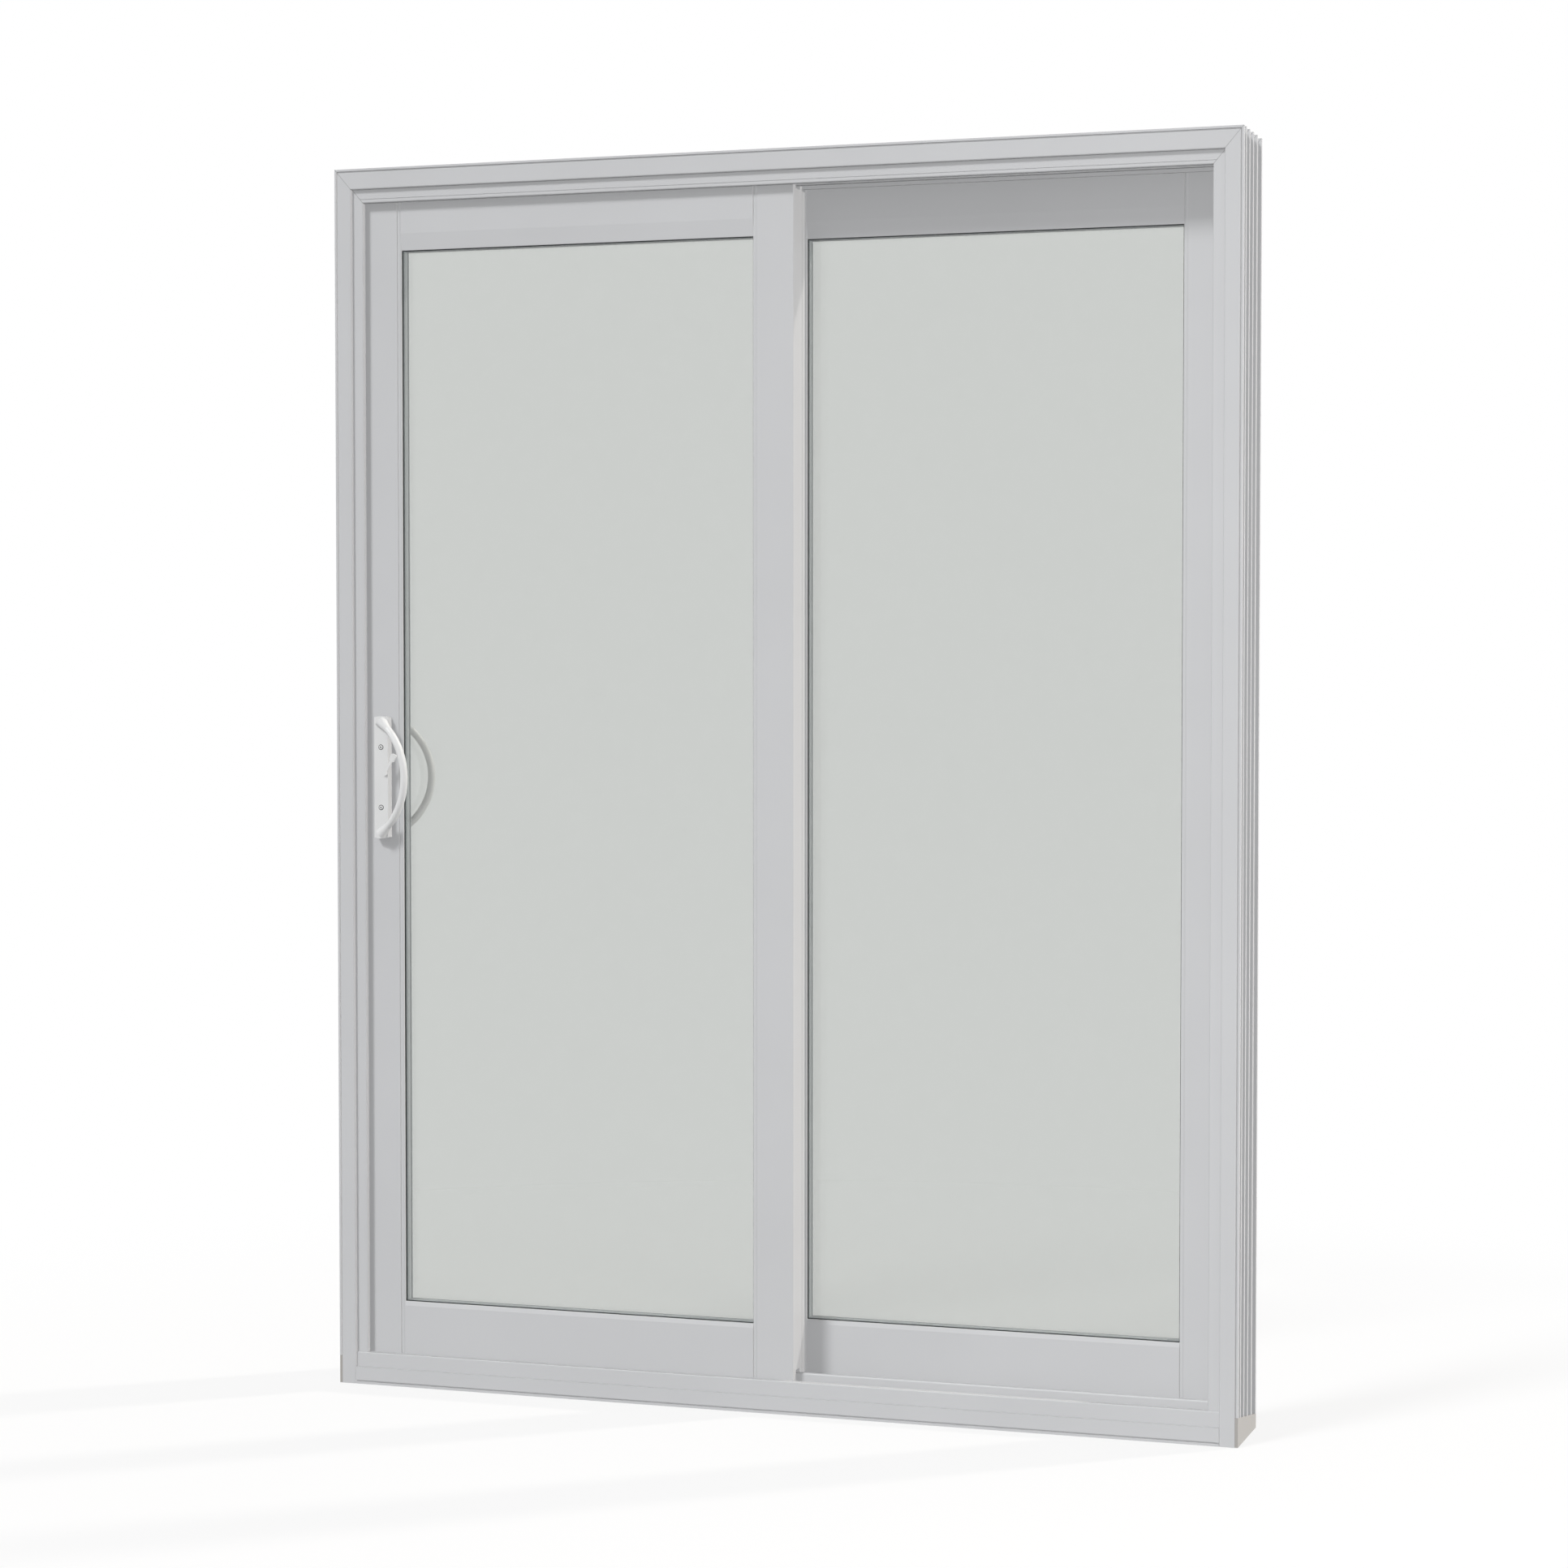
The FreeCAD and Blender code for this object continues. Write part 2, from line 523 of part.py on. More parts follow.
def slotted_plate(x, thickness, length, width):
    """Flat lock plate across a panel's edge, with round ends and a slot for the hook."""
    half_length, half_width = length / 2, width / 2
    y = RAIL_MIDDLE - FRAME_DEPTH / 2
    corners = [
        (y - half_width, HANDLE_HEIGHT - half_length, LOCK_CORNER),
        (y + half_width, HANDLE_HEIGHT - half_length, LOCK_CORNER),
        (y + half_width, HANDLE_HEIGHT + half_length, LOCK_CORNER),
        (y - half_width, HANDLE_HEIGHT + half_length, LOCK_CORNER),
    ]
    face = rounded_face(corners, lambda flat: Vector(x, flat.x, flat.y))
    plate = face.extrude(Vector(thickness, 0, 0))
    slot = block((x, x + thickness),
                 (RAIL_MIDDLE - HOOK_SLOT_WIDTH / 2, RAIL_MIDDLE + HOOK_SLOT_WIDTH / 2),
                 (HANDLE_HEIGHT - HOOK_SLOT_LENGTH / 2, HANDLE_HEIGHT + HOOK_SLOT_LENGTH / 2))
    return plate, plate.cut(slot)


def make_wheel(x):
    """Roller with a flat groove that rides over the rail, bored for its axle."""
    y = RAIL_MIDDLE - FRAME_DEPTH / 2
    bore = AXLE_RADIUS + AXLE_CLEARANCE
    half_groove, half_width = SILL_RAIL_WIDTH / 2 + ROLLER_GAP, ROLLER_WIDTH / 2
    side = [(bore, half_width), (ROLLER_FLANGE, half_width), (ROLLER_FLANGE, half_groove),
            (ROLLER_RADIUS, half_groove)]
    corners = side + [(radius, -aside) for radius, aside in reversed(side)]
    face = rounded_face(corners, lambda flat: Vector(x, y + flat.y, AXLE_HEIGHT - flat.x))
    return face.revolve(Vector(x, y, AXLE_HEIGHT), Vector(0, 1, 0), 360)


def make_housing(x):
    """Carriage with a fixed axle, under the top of the bottom rail's channel."""
    ceiling, bottom = PANEL_BOTTOM + BOTTOM_CHANNEL_DEPTH, AXLE_HEIGHT - HOUSING_DROP
    half = PANEL_CHANNEL / 2
    half_inside = half - HOUSING_WALL
    along = (x - HOUSING_LENGTH / 2, x + HOUSING_LENGTH / 2)
    shell = block(along, (RAIL_MIDDLE - half, RAIL_MIDDLE + half), (bottom, ceiling))
    inside = block(along, (RAIL_MIDDLE - half_inside, RAIL_MIDDLE + half_inside),
                   (bottom, ceiling - HOUSING_WALL))
    axle_start = Vector(x, RAIL_MIDDLE - half_inside - FRAME_DEPTH / 2, AXLE_HEIGHT)
    axle = Part.makeCylinder(AXLE_RADIUS, 2 * half_inside, axle_start, Vector(0, 1, 0))
    return shell.cut(inside).fuse(axle)


# Frame
sill = make_sill()
left_cap = make_sill_cap()
left_jamb = make_jamb(sill, left_cap)
right_jamb = mirror_x(left_jamb)
keeper_blank, keeper = slotted_plate(SLIDE_POCKET - HALF_WIDTH - LOCK_PLATE, LOCK_PLATE,
                                     KEEPER_LENGTH, KEEPER_WIDTH)
save(make_head(), "head")
save(left_jamb.cut(keeper_blank), "left_jamb")
save(right_jamb, "right_jamb")
save(sill, "sill")
save(left_cap, "left_sill_cap")
save(mirror_x(left_cap), "right_sill_cap")
save(make_head_guide(), "head_guide")
save(make_sill_rail(), "sill_rail")
save(keeper, "lock_keeper")

# Fixed panel on the outside, sliding panel on the room side
fixed = make_panel("fixed", FIXED_LEFT, FIXED_FRONT)
sliding = make_panel("sliding", SLIDE_LEFT, SLIDE_FRONT)
lock_blank, lock_plate = slotted_plate(SLIDE_LEFT, LOCK_PLATE, LOCK_LENGTH, LOCK_WIDTH)
sliding["sliding_left_stile"] = sliding["sliding_left_stile"].cut(lock_blank)
for node, shape in {**fixed, **sliding}.items():
    save(shape, node)
save(lock_plate, "lock_faceplate")
save(make_interlock(FIXED_LEFT, 1, FIXED_FRONT, -1), "fixed_interlock")
save(make_interlock(MEETING_REACH, -1, SLIDE_BACK, 1), "sliding_interlock")

# Handles: the outside set mirrors the inside one through the panel's middle
handle_x = SLIDE_LEFT + HANDLE_INSET
plate_front = SLIDE_FRONT - PLATE_THICKNESS
latch_x, latch_z = handle_x + LATCH_ASIDE, HANDLE_HEIGHT + LATCH_ABOVE
panel_middle = Vector(0, RAIL_MIDDLE - FRAME_DEPTH / 2, 0)
plate = make_plate(handle_x, plate_front)
pull = make_pull(handle_x, plate_front)
screws = make_screws(handle_x, plate_front)
pin_hole = Part.makeCylinder(PIN_RADIUS + PIN_CLEARANCE, PIN_LENGTH,
                             Vector(latch_x, plate_front - FRAME_DEPTH / 2, latch_z), Vector(0, 1, 0))
save(plate.cut(pin_hole), "inside_plate")
save(pull, "inside_pull")
save(plate.mirror(panel_middle, Vector(0, 1, 0)), "outside_plate")
save(pull.mirror(panel_middle, Vector(0, 1, 0)), "outside_pull")
save(Part.makeCompound(screws), "handle_screws")
save(make_latch(latch_x, latch_z, plate_front), "latch_lever")

# Rollers under the sliding panel
roller_places = (SLIDE_LEFT + ROLLER_INSET, MEETING_REACH - ROLLER_INSET)
save(Part.makeCompound([make_wheel(x) for x in roller_places]), "roller_wheels")
save(Part.makeCompound([make_housing(x) for x in roller_places]), "roller_housings")
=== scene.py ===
import math

import bmesh
import bpy
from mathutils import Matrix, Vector


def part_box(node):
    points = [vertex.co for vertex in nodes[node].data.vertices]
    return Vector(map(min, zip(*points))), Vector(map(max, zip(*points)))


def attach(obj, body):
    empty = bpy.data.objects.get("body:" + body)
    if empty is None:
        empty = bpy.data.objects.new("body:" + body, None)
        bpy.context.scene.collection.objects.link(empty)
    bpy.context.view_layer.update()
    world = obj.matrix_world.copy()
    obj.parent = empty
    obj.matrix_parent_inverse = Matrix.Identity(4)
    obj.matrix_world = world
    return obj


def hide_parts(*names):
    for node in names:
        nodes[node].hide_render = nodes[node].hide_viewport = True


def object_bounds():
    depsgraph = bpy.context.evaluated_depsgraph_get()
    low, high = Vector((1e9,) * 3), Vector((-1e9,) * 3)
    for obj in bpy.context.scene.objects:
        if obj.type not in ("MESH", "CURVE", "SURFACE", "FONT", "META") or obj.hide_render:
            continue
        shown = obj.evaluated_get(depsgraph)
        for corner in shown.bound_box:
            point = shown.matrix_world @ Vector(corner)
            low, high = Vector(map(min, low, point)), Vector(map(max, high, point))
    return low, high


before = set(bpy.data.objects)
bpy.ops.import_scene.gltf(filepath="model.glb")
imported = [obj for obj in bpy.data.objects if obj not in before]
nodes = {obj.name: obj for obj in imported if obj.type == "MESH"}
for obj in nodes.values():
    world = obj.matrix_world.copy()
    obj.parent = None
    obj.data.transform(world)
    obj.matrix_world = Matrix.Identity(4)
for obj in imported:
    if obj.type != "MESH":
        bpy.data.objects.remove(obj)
cad_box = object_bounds()

# All lengths are metres, in the frame of the part: X across, Y from room to outside, Z up.
MM = 0.001

# Finishes, as linear colours
WHITE = (1.0, 1.0, 1.0)
VINYL_WHITE = (0.600, 0.606, 0.618)
# Sill caps: a darker white than the vinyl, as painted shade for the shade on the caps' sides
CAP_WHITE_PAINTED_SHADE = (0.410, 0.396, 0.379)
HANDLE_WHITE = (0.755, 0.760, 0.760)
# Outside handle: the inside handle's white coat painted lighter, as painted light, so the
# pull behind the glass reads as lit
OUTSIDE_WHITE_PAINTED_LIGHT = (0.900, 0.902, 0.898)
SCREW_WHITE = (0.780, 0.785, 0.785)
# Near black for the screws' cross recess and countersink ring: painted shade, not the screws'
# own colour
RECESS_PAINTED_SHADE = (0.045, 0.046, 0.047)
GASKET_BLACK = (0.020, 0.024, 0.023)
SPACER_GREY = (0.370, 0.397, 0.407)
TAPE_GREY = (0.390, 0.412, 0.420)
STEEL_GREY = (0.560, 0.560, 0.545)
NYLON_WHITE = (0.640, 0.630, 0.600)

# Textures: noise scales are per metre; tones are shares of the colour, from dark to light
EVENLY = (1.0, 1.0, 1.0)
NOISE_LOW, NOISE_HIGH = 0.25, 0.75      # nearly all of a noise lies between these
TONE_LOW, TONE_HIGH = 0.3, 0.7          # the part of a noise that the tones spread over
GRAIN_DETAIL, CLOUD_DETAIL = 2.0, 3.0

VINYL_LINES, VINYL_GRAIN, VINYL_CLOUDS = 900.0, 2600.0, 5.0
VINYL_STRETCH = 0.004                   # of the die lines, along the extrusion
VINYL_TONES = (0.985, 1.015)
VINYL_ROUGHNESS = (0.36, 0.46)
VINYL_SPECULAR = 0.4
DIE_LINE_HEIGHT = 0.02 * MM
GRAIN_HEIGHT = 0.4                      # in heights of a die line

# Mitre of the head and jambs: drop for each step in, and the seam's width and tone
HEAD_RATIO = 1.16
SEAM_HALF, SEAM_FADE = 0.4 * MM, 1.3 * MM
SEAM_DARK = 0.28
SEAM_DEPTH = 8.0                        # in heights of a die line

STEEL_STROKES, STEEL_DETAIL = 2200.0, 4.0
STEEL_STRETCH = 0.02
STEEL_TONES = (0.86, 1.10)
STEEL_ROUGHNESS = (0.28, 0.44)
STEEL_HEIGHT = 0.02 * MM

GLASS_TINT = (0.884, 0.891, 0.884)      # let through by each face of a pane
GLASS_FACING_REFLECTION = 0.08
GLASS_EDGE_POWER = 5.0                  # how the reflection grows towards a glancing view
GLASS_ROUGHNESS = 0.015
GLASS_WAVES, GLASS_WAVE_DETAIL = 7.0, 1.0
GLASS_WAVE_STRETCH = (1.0, 1.0, 0.35)
GLASS_WAVE_HEIGHT = 0.3 * MM

# Moulded finishes: scale of the grain, roughness from and to, height of the grain
MOULDED_CLOUDS = 24.0
MOULDED_TONES = (0.98, 1.02)
POWDER_COAT = (1800.0, (0.30, 0.40), 0.012 * MM)
RUBBER = (1500.0, (0.55, 0.75), 0.03 * MM)
SPACER_COAT = (1200.0, (0.38, 0.52), 0.02 * MM)
NYLON = (700.0, (0.40, 0.55), 0.02 * MM)
SCREW_PAINT = (2400.0, (0.28, 0.38), 0.008 * MM)
# Finish of the painted shade in the screws' recess and countersink ring
SCREW_SHADE_FINISH = (2400.0, (0.50, 0.70), 0.008 * MM)

# Handle screws: profiles run outwards, as shares of the outer radius and of the head's height
SCREW_SEGMENTS = 64
HEAD_PROFILE = ((0.56, 1.00), (0.66, 0.93), (0.72, 0.78), (0.74, 0.12))
WELL_PROFILE = ((0.94, 0.14), (1.00, 0.00))
CROSS_HALF, CROSS_REACH = 0.5 * MM, 1.8 * MM
CROSS_ARMS = 4
CROSS_TOP, CROSS_FLOOR = 1.0, 0.35      # heights of the recess, of the head's height
# The white paint of a screw head, and the painted shade of its recess and countersink ring
PAINTED, PAINTED_SHADE_PLACE = 0, 1                    # places of the two materials on the mesh

# Stage
FLOOR_RADIUS, FLOOR_SEGMENTS = 60.0, 96
FLOOR_DROP = 0.3 * MM
FLOOR_COLOUR = (0.90, 0.90, 0.90)
FLOOR_BOUNCE = (0.12, 0.12, 0.12)
FLOOR_SHADE = 0.20                      # how much of the floor's own shading shows
SHADE_NEAR, SHADE_FAR = 0.9, 2.4
WORLD_COOL = (0.12, 0.122, 0.127)
WORLD_WARM = (0.12, 0.118, 0.114)

# Far lamps: direction from the door, strength, colour, spread in degrees, casts a shadow
FILL_SPREAD = 20.0
SUNS = {
    "key_lamp": ((-0.371, -0.618, 0.692), 1.69, WHITE, 13.0, True),
    "far_lamp": ((0.563, 0.469, 0.680), 1.20, (1.0, 0.95, 0.88), 3.0, True),
    "front_fill": ((0.20, -0.975, 0.10), 1.26, WHITE, FILL_SPREAD, False),
    "right_fill": ((0.895, 0.40, 0.20), 2.15, (1.0, 0.975, 0.95), FILL_SPREAD, False),
    "back_fill": ((-0.20, 0.96, 0.15), 1.25, WHITE, FILL_SPREAD, False),
    "left_fill": ((-0.985, 0.05, 0.15), 0.75, WHITE, FILL_SPREAD, False),
    "low_fill": ((0.10, -0.20, -0.97), 0.50, WHITE, FILL_SPREAD, False),
}
SIDE_PLACE, SIDE_AIM = (2.4, -2.2, 1.4), (0.2, 0.0, 1.0)
SIDE_SIZE, SIDE_WATTS = 1.2, 18.5
SIDE_COLOUR = (1.0, 0.99, 0.98)

# Camera, from the corners of the frame in the photograph; angles in degrees
CAMERA_PLACE = (1.74849, -5.24556, 1.21029)
CAMERA_PITCH_DOWN = 2.0856
CAMERA_TURN = 18.4368
CAMERA_LENS = 78.648
CAMERA_SENSOR = 36.0


# Objects and node trees

def add_object(name, data):
    """A new object in the scene."""
    thing = bpy.data.objects.new(name, data)
    bpy.context.scene.collection.objects.link(thing)
    return thing


def opaque(colour):
    return tuple(colour) + (1.0,)


def add(tree, kind, **values):
    """One shader node; values set its inputs by name, with _ for a space."""
    node = tree.nodes.new(kind)
    for name, value in values.items():
        node.inputs[name.replace("_", " ")].default_value = value
    return node


def math_node(tree, operation, *values):
    """One Math node whose inputs are sockets or numbers."""
    node = tree.nodes.new("ShaderNodeMath")
    node.operation = operation
    for socket, value in zip(node.inputs, values):
        if isinstance(value, (int, float)):
            socket.default_value = value
        else:
            tree.links.new(value, socket)
    return node.outputs[0]


def map_range(tree, value, start, end, low, high, kind="LINEAR"):
    """Value from start..end onto low..high."""
    node = add(tree, "ShaderNodeMapRange",
               From_Min=start, From_Max=end, To_Min=low, To_Max=high)
    node.interpolation_type = kind
    tree.links.new(value, node.inputs["Value"])
    return node.outputs["Result"]


def mix_shader(tree, share, first, second):
    """The first shader where the share is 0, the second where it is 1."""
    node = tree.nodes.new("ShaderNodeMixShader")
    tree.links.new(share, node.inputs[0])
    tree.links.new(first.outputs[0], node.inputs[1])
    tree.links.new(second.outputs[0], node.inputs[2])
    return node


def coordinates(tree, kind):
    return tree.nodes.new("ShaderNodeTexCoord").outputs[kind]


def split_axes(tree, vector):
    """Sockets X, Y and Z of a vector."""
    node = tree.nodes.new("ShaderNodeSeparateXYZ")
    tree.links.new(vector, node.inputs[0])
    return node.outputs


def stretched(tree, scales):
    """Object coordinates, times a scale on each axis."""
    mapping = add(tree, "ShaderNodeMapping", Scale=scales)
    tree.links.new(coordinates(tree, "Object"), mapping.inputs["Vector"])
    return mapping.outputs["Vector"]


def drawn_out(along, stretch):
    """Scales that draw a texture out along one axis."""
    return tuple(stretch if axis == along else 1.0 for axis in "XYZ")


def noise(tree, vector, scale, detail):
    node = add(tree, "ShaderNodeTexNoise", Scale=scale, Detail=detail)
    tree.links.new(vector, node.inputs["Vector"])
    return node.outputs[0]


def spread(tree, value, low, high):
    """A noise onto low..high."""
    return map_range(tree, value, NOISE_LOW, NOISE_HIGH, low, high)


def shaded(tree, value, colour, dark, light):
    """The colour, made darker and lighter by a noise."""
    ramp = tree.nodes.new("ShaderNodeValToRGB")
    stops = zip(ramp.color_ramp.elements, (TONE_LOW, TONE_HIGH), (dark, light))
    for element, position, level in stops:
        element.position = position
        element.color = opaque(min(1.0, part * level) for part in colour)
    tree.links.new(value, ramp.inputs["Fac"])
    return ramp.outputs["Color"]


def bump(tree, height, distance):
    node = add(tree, "ShaderNodeBump", Strength=1.0, Distance=distance)
    tree.links.new(height, node.inputs["Height"])
    return node.outputs["Normal"]


def new_material(name):
    """A material with its node tree and its Principled shader."""
    material = bpy.data.materials.new(name)
    material.use_nodes = True
    tree = material.node_tree
    return material, tree, tree.nodes["Principled BSDF"]


# Materials

def mitre_seam(tree):
    """1 on the joint between the head and a jamb, 0 away from it."""
    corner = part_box("head")[1]
    place = split_axes(tree, coordinates(tree, "Object"))
    across = math_node(tree, "ABSOLUTE", place["X"])
    inward = math_node(tree, "SUBTRACT", corner.x, across)
    down = math_node(tree, "SUBTRACT", corner.z, place["Z"])
    lean = math_node(tree, "MULTIPLY", inward, HEAD_RATIO)
    off = math_node(tree, "ABSOLUTE", math_node(tree, "SUBTRACT", down, lean))
    return map_range(tree, off, SEAM_HALF, SEAM_FADE, 1.0, 0.0, "SMOOTHSTEP")


def extruded_vinyl(name, along, colour=VINYL_WHITE, mitred=False):
    """Satin vinyl with faint die lines along the extrusion, and a seam where it is mitred."""
    material, tree, shader = new_material(name)
    everywhere = stretched(tree, EVENLY)
    lengthwise = stretched(tree, drawn_out(along, VINYL_STRETCH))
    lines = noise(tree, lengthwise, VINYL_LINES, GRAIN_DETAIL)
    grain = noise(tree, everywhere, VINYL_GRAIN, GRAIN_DETAIL)
    clouds = noise(tree, everywhere, VINYL_CLOUDS, CLOUD_DETAIL)
    coat = shaded(tree, clouds, colour, *VINYL_TONES)
    height = math_node(tree, "ADD", lines, math_node(tree, "MULTIPLY", grain, GRAIN_HEIGHT))
    if mitred:
        seam = mitre_seam(tree)
        dimmed = tree.nodes.new("ShaderNodeHueSaturation")
        dark = math_node(tree, "MULTIPLY", seam, SEAM_DARK)
        tree.links.new(math_node(tree, "SUBTRACT", 1.0, dark), dimmed.inputs["Value"])
        tree.links.new(coat, dimmed.inputs["Color"])
        coat = dimmed.outputs["Color"]
        groove = math_node(tree, "MULTIPLY", seam, SEAM_DEPTH)
        height = math_node(tree, "SUBTRACT", height, groove)
    tree.links.new(coat, shader.inputs["Base Color"])
    tree.links.new(spread(tree, grain, *VINYL_ROUGHNESS), shader.inputs["Roughness"])
    tree.links.new(bump(tree, height, DIE_LINE_HEIGHT), shader.inputs["Normal"])
    shader.inputs["Specular IOR Level"].default_value = VINYL_SPECULAR
    return material


def moulded_plastic(name, colour, grain_scale, roughness, depth):
    """Moulded plastic, rubber or a sprayed coat: a fine even grain."""
    material, tree, shader = new_material(name)
    everywhere = stretched(tree, EVENLY)
    grain = noise(tree, everywhere, grain_scale, GRAIN_DETAIL)
    clouds = noise(tree, everywhere, MOULDED_CLOUDS, CLOUD_DETAIL)
    tree.links.new(shaded(tree, clouds, colour, *MOULDED_TONES), shader.inputs["Base Color"])
    tree.links.new(spread(tree, grain, *roughness), shader.inputs["Roughness"])
    tree.links.new(bump(tree, grain, depth), shader.inputs["Normal"])
    return material


def brushed_metal(name, colour, along):
    """Metal with fine strokes along one axis."""
    material, tree, shader = new_material(name)
    lengthwise = stretched(tree, drawn_out(along, STEEL_STRETCH))
    strokes = noise(tree, lengthwise, STEEL_STROKES, STEEL_DETAIL)
    tree.links.new(shaded(tree, strokes, colour, *STEEL_TONES), shader.inputs["Base Color"])
    tree.links.new(spread(tree, strokes, *STEEL_ROUGHNESS), shader.inputs["Roughness"])
    tree.links.new(bump(tree, strokes, STEEL_HEIGHT), shader.inputs["Normal"])
    shader.inputs["Metallic"].default_value = 1.0
    return material


def float_glass(name):
    """Tinted pane: looked through without bending, with a faint wave in what it mirrors."""
    material, tree, shader = new_material(name)
    tree.nodes.remove(shader)
    through = add(tree, "ShaderNodeBsdfTransparent", Color=opaque(GLASS_TINT))
    mirror = add(tree, "ShaderNodeBsdfGlossy", Roughness=GLASS_ROUGHNESS)
    waves = noise(tree, stretched(tree, GLASS_WAVE_STRETCH), GLASS_WAVES, GLASS_WAVE_DETAIL)
    tree.links.new(bump(tree, waves, GLASS_WAVE_HEIGHT), mirror.inputs["Normal"])
    facing = add(tree, "ShaderNodeLayerWeight", Blend=0.5).outputs["Facing"]
    edge_on = math_node(tree, "POWER", facing, GLASS_EDGE_POWER)
    share = math_node(tree, "MULTIPLY", edge_on, 1.0 - GLASS_FACING_REFLECTION)
    share = math_node(tree, "ADD", share, GLASS_FACING_REFLECTION)
    glass = mix_shader(tree, share, through, mirror)
    lamp_light = add(tree, "ShaderNodeBsdfTransparent", Color=opaque(WHITE))
    is_shadow = tree.nodes.new("ShaderNodeLightPath").outputs["Is Shadow Ray"]
    final = mix_shader(tree, is_shadow, glass, lamp_light)
    tree.links.new(final.outputs[0], tree.nodes["Material Output"].inputs["Surface"])
    return material


def dress(material, *names):
    """Give a material to CAD nodes."""
    for name in names:
        mesh = nodes[name].data
        mesh.materials.clear()
        mesh.materials.append(material)


def panel_nodes(*pieces):
    """Names of these pieces on both panels."""
    return [panel + "_" + piece for panel in ("sliding", "fixed") for piece in pieces]


def dress_nodes():
    dress(extruded_vinyl("vinyl_upright", "Z"),
          *panel_nodes("left_stile", "right_stile", "interlock"))
    dress(extruded_vinyl("vinyl_level", "X"),
          "sill", "head_guide", "sill_rail", *panel_nodes("top_rail", "bottom_rail"))
    dress(moulded_plastic("handle_coat", HANDLE_WHITE, *POWDER_COAT),
          "inside_plate", "inside_pull", "latch_lever")
    dress(extruded_vinyl("vinyl_jamb", "Z", mitred=True), "left_jamb", "right_jamb")
    dress(extruded_vinyl("vinyl_head", "X", mitred=True), "head")
    # The sill caps take the darker white: painted shade
    dress(extruded_vinyl("cap_plastic_painted_shade", "Z", CAP_WHITE_PAINTED_SHADE), "left_sill_cap", "right_sill_cap")
    dress(float_glass("float_glass"), *panel_nodes("inner_pane", "outer_pane"))
    dress(moulded_plastic("gasket_rubber", GASKET_BLACK, *RUBBER),
          *panel_nodes("inner_gasket"))
    dress(moulded_plastic("glazing_tape", TAPE_GREY, *RUBBER), *panel_nodes("outer_gasket"))
    dress(moulded_plastic("spacer_coat", SPACER_GREY, *SPACER_COAT), *panel_nodes("spacer"))
    # The outside plate and pull: the inside coat painted lighter, as painted light
    dress(moulded_plastic("outside_coat_painted_light", OUTSIDE_WHITE_PAINTED_LIGHT, *POWDER_COAT),
          "outside_plate", "outside_pull")
    dress(brushed_metal("plated_steel", STEEL_GREY, "Z"),
          "lock_keeper", "lock_faceplate", "roller_housings")
    dress(moulded_plastic("roller_nylon", NYLON_WHITE, *NYLON), "roller_wheels")


# Handle screws: white heads with a cross recess, each in a countersink; the recess and the
# countersink ring are coloured near black as painted shade

def cross_outline():
    """Corners of the cross recess, in turn."""
    corners = []
    arm = ((CROSS_REACH, -CROSS_HALF), (CROSS_REACH, CROSS_HALF), (CROSS_HALF, CROSS_HALF))
    for _ in range(CROSS_ARMS):
        corners += arm
        arm = tuple((-z, x) for x, z in arm)
    return corners


def circle_outline(radius):
    turns = [2.0 * math.pi * step / SCREW_SEGMENTS for step in range(SCREW_SEGMENTS)]
    return [(radius * math.cos(turn), radius * math.sin(turn)) for turn in turns]


def join_loops(shell, loops, material):
    """Quads between each loop of corners and the next."""
    for inner, outer in zip(loops, loops[1:]):
        for i, corner in enumerate(inner):
            after = (i + 1) % len(inner)
            face = shell.faces.new((corner, outer[i], outer[after], inner[after]))
            face.material_index = material


def loop_edges(shell, loop):
    return [shell.edges.get((loop[i - 1], loop[i])) for i in range(len(loop))]


def add_screw(shell, middle_x, middle_z, plate, radius, rise):
    """One screw as a closed shell on the plate's front."""
    def loop(outline, height):
        return [shell.verts.new((middle_x + x, plate - height * rise, middle_z + z))
                for x, z in outline]

    head = [loop(circle_outline(share * radius), height) for share, height in HEAD_PROFILE]
    well = [loop(circle_outline(share * radius), height) for share, height in WELL_PROFILE]
    cross = [loop(cross_outline(), height) for height in (CROSS_TOP, CROSS_FLOOR)]
    join_loops(shell, head, PAINTED)
    # The countersink ring and the cross recess take the painted shade
    join_loops(shell, head[-1:] + well, PAINTED_SHADE_PLACE)
    join_loops(shell, cross, PAINTED_SHADE_PLACE)
    shell.faces.new(cross[-1]).material_index = PAINTED_SHADE_PLACE
    shell.faces.new(well[-1]).material_index = PAINTED_SHADE_PLACE
    rims = loop_edges(shell, head[0]) + loop_edges(shell, cross[0])
    bmesh.ops.triangle_fill(shell, edges=rims, use_beauty=True, normal=(0.0, -1.0, 0.0))


def make_screws():
    """Both screws as one piece, in the place of the plain CAD ones."""
    low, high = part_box("handle_screws")
    radius = (high.x - low.x) / 2
    shell = bmesh.new()
    for middle_z in (low.z + radius, high.z - radius):
        add_screw(shell, low.x + radius, middle_z, high.y, radius, high.y - low.y)
    bmesh.ops.recalc_face_normals(shell, faces=shell.faces[:])
    mesh = bpy.data.meshes.new("screw_heads")
    shell.to_mesh(mesh)
    shell.free()
    mesh.materials.append(moulded_plastic("screw_paint", SCREW_WHITE, *SCREW_PAINT))
    # Second material: near black, painted shade for the recess and the countersink ring
    mesh.materials.append(moulded_plastic("screw_painted_shade", RECESS_PAINTED_SHADE, *SCREW_SHADE_FINISH))
    screws = add_object("screw_heads", mesh)
    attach(screws, "sliding_panel")
    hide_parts("handle_screws")


# Stage

def seen_share(tree):
    """1 for rays that show the background: straight, mirrored or through glass."""
    path = tree.nodes.new("ShaderNodeLightPath").outputs
    seen = math_node(tree, "MAXIMUM", path["Is Camera Ray"], path["Is Glossy Ray"])
    return math_node(tree, "MAXIMUM", seen, path["Is Transmission Ray"])


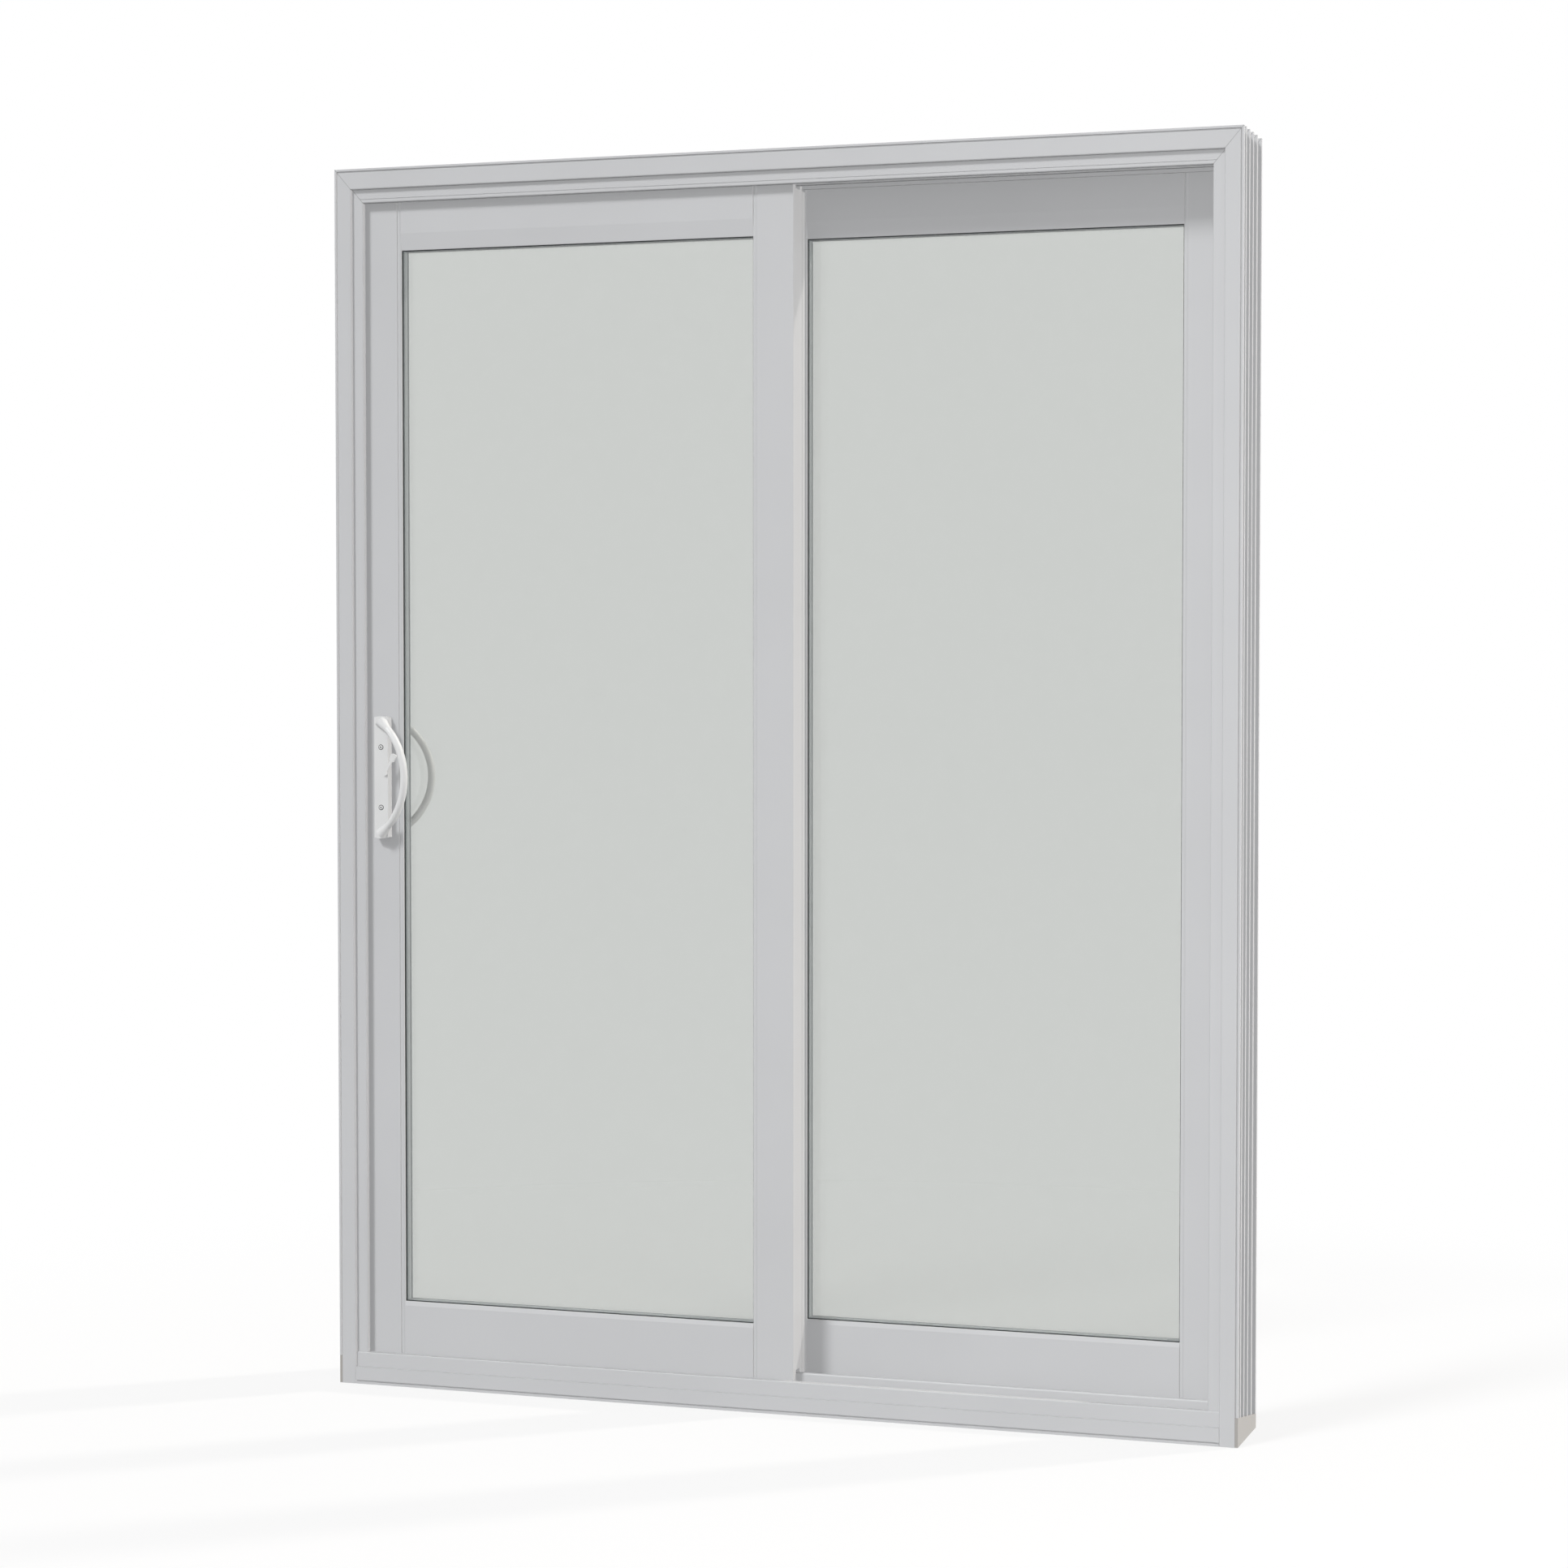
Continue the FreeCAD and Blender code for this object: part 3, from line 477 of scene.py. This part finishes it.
def make_floor():
    """Pale floor that keeps the door's shadow and fades to white away from it."""
    mesh = bpy.data.meshes.new("floor")
    disc = bmesh.new()
    bmesh.ops.create_circle(disc, cap_ends=True, segments=FLOOR_SEGMENTS, radius=FLOOR_RADIUS)
    disc.to_mesh(mesh)
    disc.free()
    floor = add_object("floor", mesh)
    floor.location.z = cad_box[0].z - FLOOR_DROP
    material, tree, shader = new_material("floor_pale")
    tree.nodes.remove(shader)
    white = add(tree, "ShaderNodeEmission", Color=opaque(WHITE), Strength=1.0)
    matt = add(tree, "ShaderNodeBsdfDiffuse", Color=opaque(FLOOR_COLOUR))
    bounce = add(tree, "ShaderNodeBsdfDiffuse", Color=opaque(FLOOR_BOUNCE))
    away = tree.nodes.new("ShaderNodeVectorMath")
    away.operation = "LENGTH"
    tree.links.new(coordinates(tree, "Object"), away.inputs[0])
    shade = map_range(tree, away.outputs["Value"], SHADE_NEAR, SHADE_FAR, FLOOR_SHADE, 0.0,
                      "SMOOTHSTEP")
    shown = mix_shader(tree, shade, white, matt)
    final = mix_shader(tree, seen_share(tree), bounce, shown)
    tree.links.new(final.outputs[0], tree.nodes["Material Output"].inputs["Surface"])
    mesh.materials.append(material)


def make_world():
    """White where it is seen; cool soft light, warmer from the right."""
    world = bpy.data.worlds.new("studio")
    bpy.context.scene.world = world
    world.use_nodes = True
    tree = world.node_tree
    tree.nodes.remove(tree.nodes["Background"])
    white = add(tree, "ShaderNodeBackground", Color=opaque(WHITE), Strength=1.0)
    soft = add(tree, "ShaderNodeBackground", Strength=1.0)
    direction = split_axes(tree, coordinates(tree, "Generated"))
    rightward = math_node(tree, "MULTIPLY_ADD", direction["X"], 0.5, 0.5)
    ramp = tree.nodes.new("ShaderNodeValToRGB")
    cool, warm = ramp.color_ramp.elements
    cool.color, warm.color = opaque(WORLD_COOL), opaque(WORLD_WARM)
    cool.position = 0.5
    tree.links.new(rightward, ramp.inputs["Fac"])
    tree.links.new(ramp.outputs["Color"], soft.inputs["Color"])
    final = mix_shader(tree, seen_share(tree), soft, white)
    tree.links.new(final.outputs[0], tree.nodes["World Output"].inputs["Surface"])


def make_sun(name, toward, strength, colour, spread_deg, shadow):
    """Far lamp; toward points from the door to the lamp. One without shadow only fills."""
    lamp = bpy.data.lights.new(name, "SUN")
    lamp.use_shadow = shadow
    lamp.energy = strength
    lamp.color = colour
    lamp.angle = math.radians(spread_deg)
    holder = add_object(name, lamp)
    holder.visible_glossy = shadow
    holder.rotation_euler = Vector(toward).to_track_quat("Z", "Y").to_euler()


def make_side_lamp():
    """Soft lamp near the door that only fills: no shadow, and not mirrored in the glass."""
    lamp = bpy.data.lights.new("side_lamp", "AREA")
    lamp.use_shadow = False
    lamp.shape = "SQUARE"
    lamp.size = SIDE_SIZE
    lamp.energy = SIDE_WATTS
    lamp.color = SIDE_COLOUR
    holder = add_object("side_lamp", lamp)
    holder.visible_glossy = False
    holder.location = SIDE_PLACE
    toward = Vector(SIDE_PLACE) - Vector(SIDE_AIM)
    holder.rotation_euler = toward.to_track_quat("Z", "Y").to_euler()


def make_camera():
    lens = bpy.data.cameras.new("camera")
    lens.lens = CAMERA_LENS
    lens.sensor_width = CAMERA_SENSOR
    holder = add_object("camera", lens)
    holder.location = CAMERA_PLACE
    holder.rotation_euler = (math.radians(90.0 - CAMERA_PITCH_DOWN), 0.0,
                             math.radians(CAMERA_TURN))
    bpy.context.scene.camera = holder


dress_nodes()
make_screws()
make_floor()
make_world()
for lamp_name, settings in SUNS.items():
    make_sun(lamp_name, *settings)
make_side_lamp()
make_camera()
bpy.context.scene.view_settings.view_transform = "Standard"
# Each surface takes its light from the lamps and the world alone
bpy.context.scene.cycles.diffuse_bounces = 0
